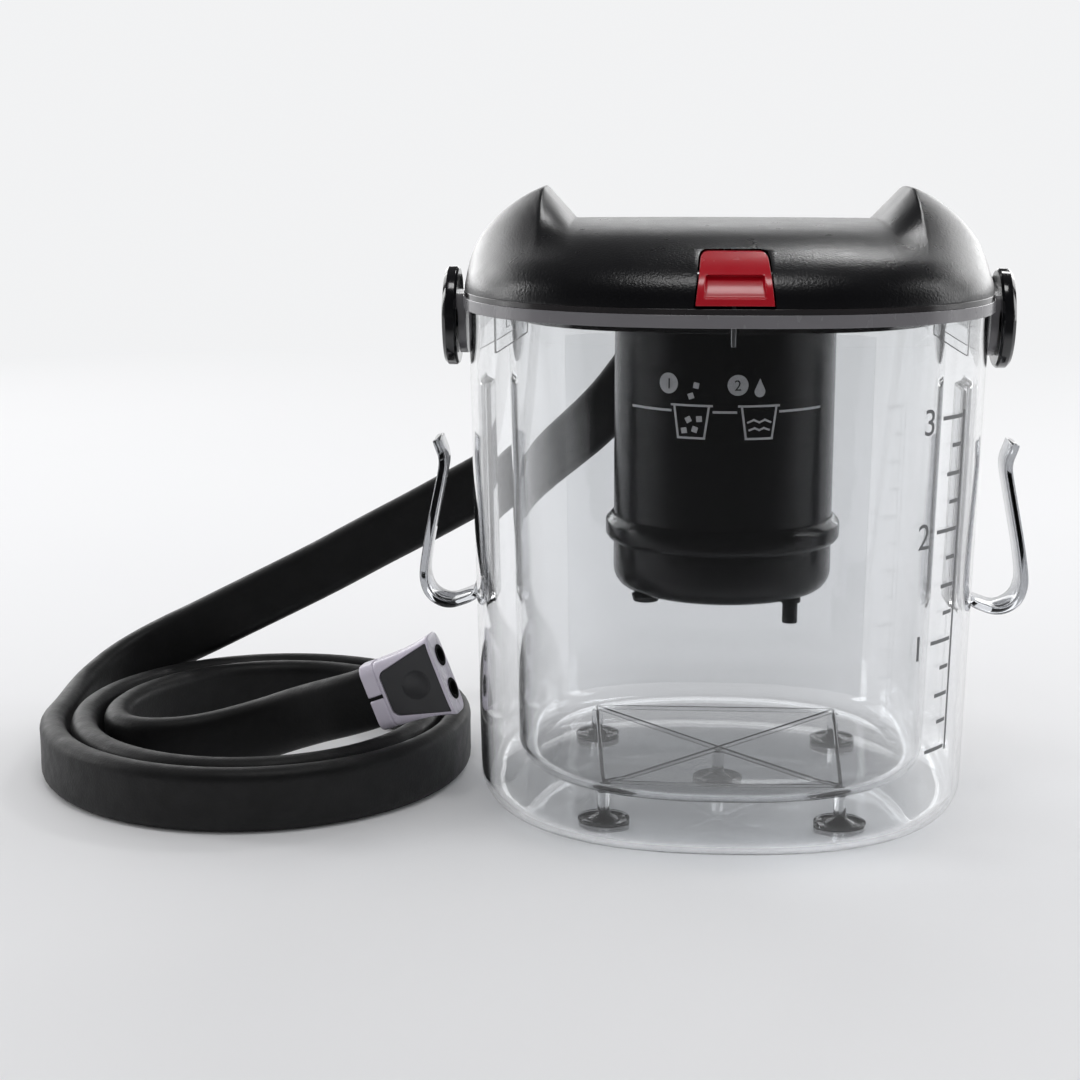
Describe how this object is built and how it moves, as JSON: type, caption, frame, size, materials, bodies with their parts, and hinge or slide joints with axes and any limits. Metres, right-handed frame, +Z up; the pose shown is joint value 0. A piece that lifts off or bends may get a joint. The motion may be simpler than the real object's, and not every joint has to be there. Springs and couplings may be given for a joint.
{
  "type": "hot cold therapy machine",
  "caption": "Portable cold therapy cooler: clear double-wall tank, black saddle lid with hanging pump canister, red latch, side hooks, fold-back handle, and a flat hose with quick connector.",
  "frame": {"origin": "middle of the base, on the underside of the centre foot", "axes": "+Z up, +X to the right seen from the front, -Y towards the front, where the latch is"},
  "size_m": [0.4493, 0.2597, 0.2695],
  "materials": {
    "clear_shell": "clear polished plastic",
    "clear_inner": "clear polished plastic",
    "clear_rim": "clear polished plastic",
    "smoke_hook": "smoked clear plastic",
    "rubber": "matte",
    "steel": "satin",
    "lid_black": "fine-grained",
    "dark_strip": "gloss",
    "canister_black": "satin gloss",
    "gloss_black": "gloss",
    "dark_grey": "satin",
    "pale_tube": "satin",
    "latch_red": "gloss",
    "hose_foam": "soft skin",
    "lilac_grey": "satin gloss",
    "button_grey": "satin"
  },
  "bodies": {
    "tank": {"outer_shell": "clear_shell", "inner_bucket": "clear_inner", "rim_ring": "clear_rim", "tank_feet": "clear_rim", "floor_spacers": "clear_inner", "hook_left": "smoke_hook", "hook_right": "smoke_hook", "pivot_screws": "steel", "hose_lead": "hose_foam", "hose_coil": "hose_foam", "hose_tail": "hose_foam", "hose_collar": "lilac_grey", "connector_front": "lilac_grey", "connector_rear": "lilac_grey", "connector_ports": "dark_grey", "port_seals": "rubber"},
    "lid": {"lid_cover": "lid_black", "lid_pan": "dark_strip", "lid_seal": "rubber", "lid_screws": "steel", "hose_gland": "lid_black", "power_inlet": "lid_black", "latch_pin": "steel", "latch_springs": "steel", "canister_body": "canister_black", "canister_band": "canister_black", "canister_base": "canister_black", "intake_nozzle": "canister_black", "base_foot": "canister_black", "motor": "steel", "motor_mount": "dark_grey", "pump_housing": "dark_grey", "supply_tube": "pale_tube", "return_tube": "pale_tube"},
    "latch": {"latch_lever": "latch_red", "latch_blade": "steel"},
    "handle": {"handle_bail": "gloss_black", "hub_caps": "gloss_black", "handle_grip": "rubber"},
    "pump_rotor": {"impeller": "pale_tube"},
    "button": {"release_button": "button_grey"}
  },
  "joints": [
    {"name": "lid_lift", "type": "slide", "parent": "tank", "child": "lid", "axis": [0, 0, 1], "range_m": [0, 0.15]},
    {"name": "latch_pull", "type": "hinge", "parent": "lid", "child": "latch", "pos_m": [0, -0.091, 0.2383], "axis": [-1, 0, 0], "range_deg": [0, 9], "stiffness_Nm_per_rad": 0.05, "springref_deg": -17.19},
    {"name": "handle_swing", "type": "hinge", "parent": "tank", "child": "handle", "pos_m": [0, 0, 0.2146], "axis": [1, 0, 0], "range_deg": [0, 180]},
    {"name": "rotor_spin", "type": "hinge", "parent": "lid", "child": "pump_rotor", "pos_m": [0, 0, 0.1], "axis": [0, 0, 1], "continuous": true},
    {"name": "button_press", "type": "slide", "parent": "tank", "child": "button", "axis": [0.184, 0.9829, 0], "range_m": [0, 0.0016], "stiffness_N_per_m": 400, "springref_m": -0.003}
  ]
}
